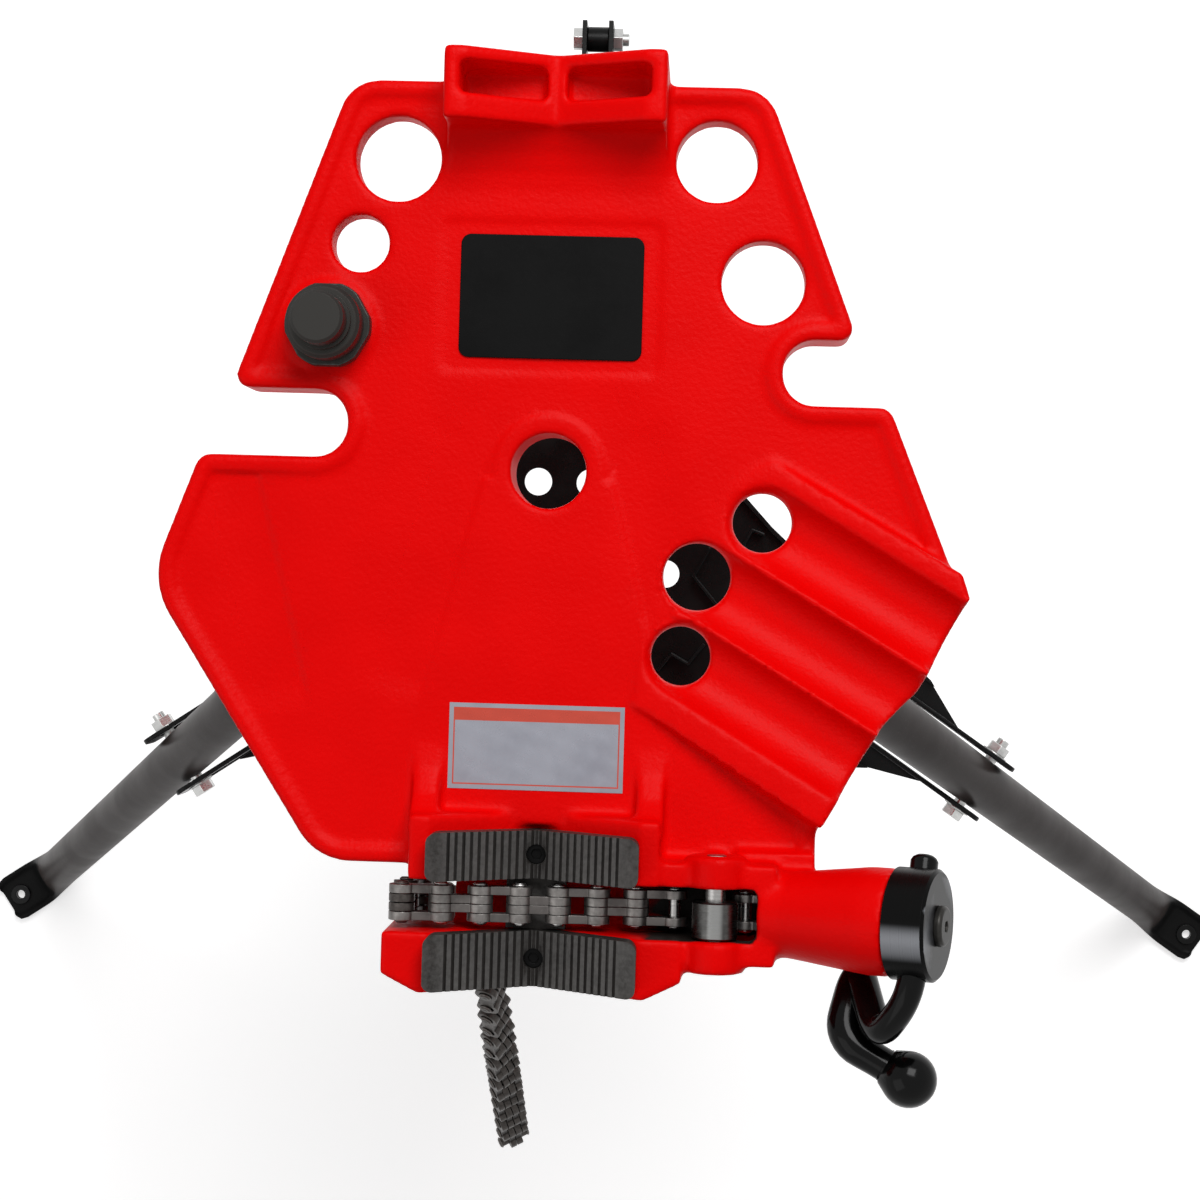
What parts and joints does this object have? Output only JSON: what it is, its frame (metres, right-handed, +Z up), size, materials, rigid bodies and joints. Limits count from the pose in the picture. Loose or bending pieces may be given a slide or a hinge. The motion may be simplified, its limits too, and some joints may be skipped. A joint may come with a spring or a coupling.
{
  "type": "tripod pipe vise stand",
  "caption": "Folding tripod stand with a cast table, chain pipe vise with a crank, pipe rest, bending grooves, ceiling brace screw and a locking tray.",
  "frame": {"origin": "on the floor under the middle of the whole stand", "axes": "+X right, +Y to the pipe rest, +Z up"},
  "size_m": [0.9898, 0.796, 0.9217],
  "materials": {
    "red_enamel": "semi-gloss enamel on a casting",
    "plate_black": "satin",
    "label_silver": "satin",
    "jaw_black": "black oxide",
    "dark_steel": "dark satin",
    "bright_steel": "turned",
    "chain_steel": "worn",
    "gloss_black": "gloss",
    "zinc": "zinc plated",
    "leg_grey": "gunmetal",
    "tray_black": "gloss black"
  },
  "bodies": {
    "frame": {"table_casting": "red_enamel", "name_plate": "plate_black", "label_plate": "label_silver", "rear_jaw": "jaw_black", "front_jaw": "jaw_black", "jaw_screws": "dark_steel", "roller_pin": "bright_steel", "leg_pivot_bolts": "zinc", "leg_pivot_nuts": "zinc"},
    "left_leg": {"left_leg_knuckle": "leg_grey", "left_leg_tube": "leg_grey", "left_foot": "tray_black", "left_foot_ring": "tray_black", "left_leg_bolt": "zinc", "left_leg_nut": "zinc"},
    "right_leg": {"right_leg_knuckle": "leg_grey", "right_leg_tube": "leg_grey", "right_foot": "tray_black", "right_foot_ring": "tray_black", "right_leg_bolt": "zinc", "right_leg_nut": "zinc"},
    "rear_leg": {"rear_leg_knuckle": "leg_grey", "rear_leg_tube": "leg_grey", "rear_foot": "tray_black", "rear_foot_ring": "tray_black"},
    "tray": {"tray_pan": "tray_black", "left_tray_rails": "tray_black", "right_tray_rails": "tray_black", "rear_tray_straps": "tray_black", "rear_tie_bolt": "zinc", "rear_tie_nut": "zinc", "rear_tie_spacer": "tray_black"},
    "roller": {"chain_roller": "bright_steel"},
    "chain_span": {"chain_span_plates": "chain_steel", "chain_span_pins": "bright_steel"},
    "chain_tail": {"chain_tail_plates": "chain_steel", "chain_tail_pins": "bright_steel"},
    "draw": {"draw_screw": "bright_steel", "chain_draw_plates": "chain_steel", "chain_draw_pins": "bright_steel"},
    "crank": {"crank_cap": "gloss_black", "crank_handle": "gloss_black", "crank_screw": "dark_steel"},
    "jam_nut": {"ceiling_jam_nut": "dark_steel"},
    "ceiling_screw": {"ceiling_screw": "dark_steel"}
  },
  "joints": [
    {"name": "left_leg_fold", "type": "hinge", "parent": "frame", "child": "left_leg", "pos_m": [-0.11026, -0.04691, 0.8], "axis": [0.5592, -0.829, 0], "range_deg": [0, 21]},
    {"name": "right_leg_fold", "type": "hinge", "parent": "frame", "child": "right_leg", "pos_m": [0.11026, -0.04691, 0.8], "axis": [0.5592, 0.829, 0], "range_deg": [0, 21]},
    {"name": "rear_leg_fold", "type": "hinge", "parent": "frame", "child": "rear_leg", "pos_m": [0, 0.20246, 0.8], "axis": [-1, 0, 0], "range_deg": [0, 8]},
    {"name": "tray_slide", "type": "slide", "parent": "frame", "child": "tray", "axis": [0, 0, -1], "range_m": [0, 0.04063]},
    {"name": "crank_turn", "type": "hinge", "parent": "frame", "child": "crank", "pos_m": [0.09702, -0.18954, 0.8577], "axis": [0.9336, 0, 0.3584], "range_deg": [-1080, 0]},
    {"name": "draw_slide", "type": "slide", "parent": "frame", "child": "draw", "axis": [0.9336, 0, 0.3584], "range_m": [0, 0.012]},
    {"name": "span_slide", "type": "slide", "parent": "frame", "child": "chain_span", "axis": [0.9955, 0, -0.0945], "range_m": [0, 0.012]},
    {"name": "roller_spin", "type": "hinge", "parent": "frame", "child": "roller", "pos_m": [0.09, -0.18954, 0.876], "axis": [0, 1, 0], "range_deg": [-56, 0]},
    {"name": "tail_swing", "type": "hinge", "parent": "chain_span", "child": "chain_tail", "pos_m": [-0.066, -0.18954, 0.869], "axis": [0, 1, 0], "range_deg": [-2, 40]},
    {"name": "ceiling_lift", "type": "slide", "parent": "frame", "child": "jam_nut", "axis": [0, 0, 1], "range_m": [0, 0.1]},
    {"name": "ceiling_turn", "type": "hinge", "parent": "jam_nut", "child": "ceiling_screw", "pos_m": [-0.112, 0.09696, 0.86], "axis": [0, 0, 1], "range_deg": [0, 7200]}
  ],
  "couplings": [
    {"joint": "right_leg_fold", "follows": "left_leg_fold", "ratio": 1},
    {"joint": "rear_leg_fold", "follows": "left_leg_fold", "ratio": 0.38095},
    {"joint": "tray_slide", "follows": "left_leg_fold", "m_per_rad": 0.11085},
    {"joint": "draw_slide", "follows": "crank_turn", "m_per_rad": -0.00063662},
    {"joint": "span_slide", "follows": "crank_turn", "m_per_rad": -0.00063662},
    {"joint": "roller_spin", "follows": "crank_turn", "ratio": 0.05093},
    {"joint": "ceiling_turn", "follows": "ceiling_lift", "rad_per_m": 1256.6}
  ]
}
